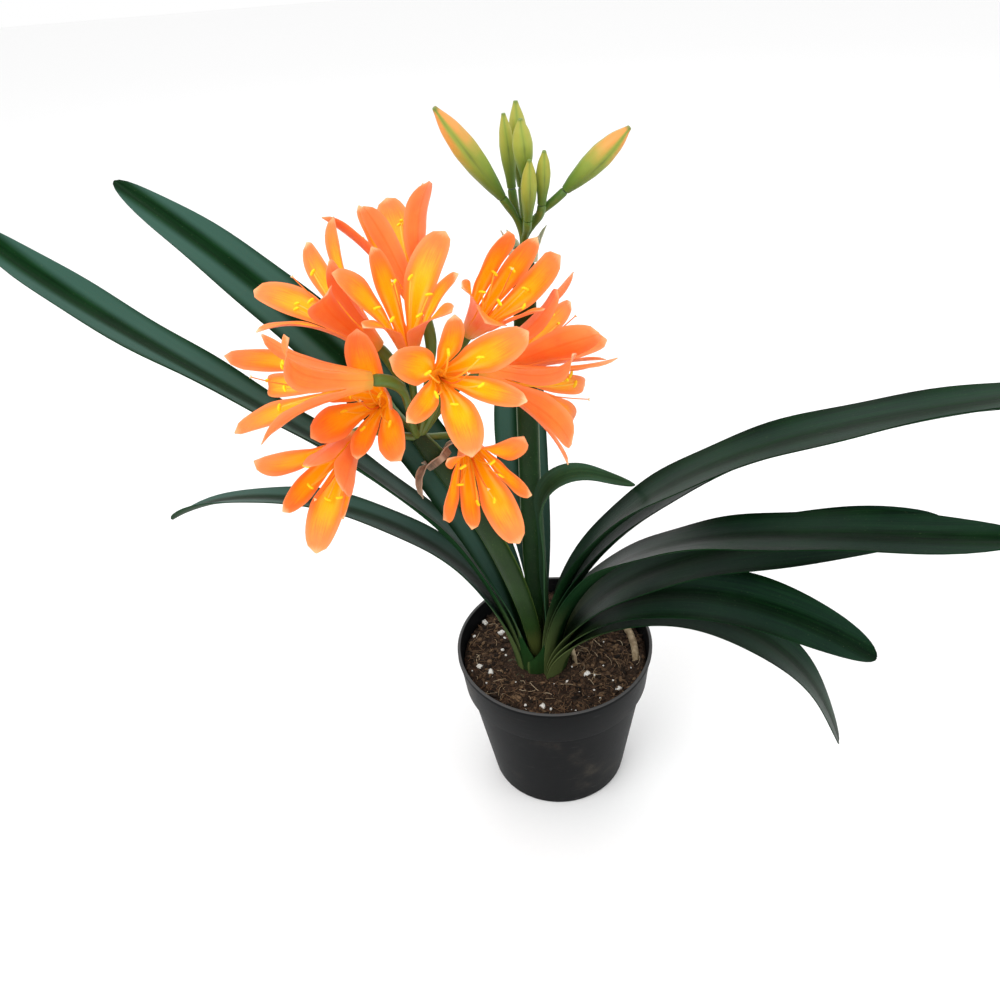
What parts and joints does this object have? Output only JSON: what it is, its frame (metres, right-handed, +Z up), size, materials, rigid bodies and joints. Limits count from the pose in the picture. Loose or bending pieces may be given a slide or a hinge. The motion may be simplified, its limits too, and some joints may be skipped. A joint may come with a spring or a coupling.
{
  "type": "potted clivia plant",
  "caption": "Potted clivia: arching strap leaves in two fans, an umbel of open orange funnel flowers and a stalk of buds, in a round plastic nursery pot with soil.",
  "frame": {"origin": "centre of the pot's flat base, at the height it rests on", "axes": "+Z up, +X to the right of the picture, +Y away from the viewer; -Z is the outward normal of the base"},
  "size_m": [0.702, 0.3373, 0.4555],
  "materials": {
    "pot_plastic": "satin",
    "soil_mix": "rough",
    "root_skin": "matte",
    "crown_skin": "matte",
    "leaf_green": "satin",
    "petal_orange": "soft satin",
    "stamen_yellow": "matte",
    "stalk_green": "satin",
    "bud_green": "satin",
    "paper_brown": "papery",
    "paper_green": "papery"
  },
  "bodies": {
    "root": {"bloom_a": "petal_orange", "bloom_b": "petal_orange", "bloom_c": "petal_orange", "bloom_d": "petal_orange", "bloom_e": "petal_orange", "bloom_f": "petal_orange", "bloom_g": "petal_orange", "bloom_h": "petal_orange", "bloom_i": "petal_orange", "bloom_j": "petal_orange", "bloom_k": "petal_orange", "bud_a": "bud_green", "bud_b": "bud_green", "bud_c": "bud_green", "bud_d": "bud_green", "bud_e": "bud_green", "bud_f": "bud_green", "bud_g": "bud_green", "bud_stalk": "stalk_green", "crown": "crown_skin", "flower_stalk": "stalk_green", "leaf_centre": "leaf_green", "leaf_left_1": "leaf_green", "leaf_left_2": "leaf_green", "leaf_left_3": "leaf_green", "leaf_right_1": "leaf_green", "leaf_right_2": "leaf_green", "leaf_right_3": "leaf_green", "leaf_right_4": "leaf_green", "leaf_right_5": "leaf_green", "leaf_right_6": "leaf_green", "leaf_young": "leaf_green", "pot": "pot_plastic", "root_large": "root_skin", "root_small": "root_skin", "soil": "soil_mix", "spathe_buds": "paper_green", "spathe_flowers": "paper_brown", "stamens_a": "stamen_yellow", "stamens_b": "stamen_yellow", "stamens_c": "stamen_yellow", "stamens_d": "stamen_yellow", "stamens_e": "stamen_yellow", "stamens_f": "stamen_yellow", "stamens_g": "stamen_yellow", "stamens_h": "stamen_yellow", "stamens_i": "stamen_yellow", "stamens_j": "stamen_yellow", "stamens_k": "stamen_yellow"}
  },
  "joints": []
}
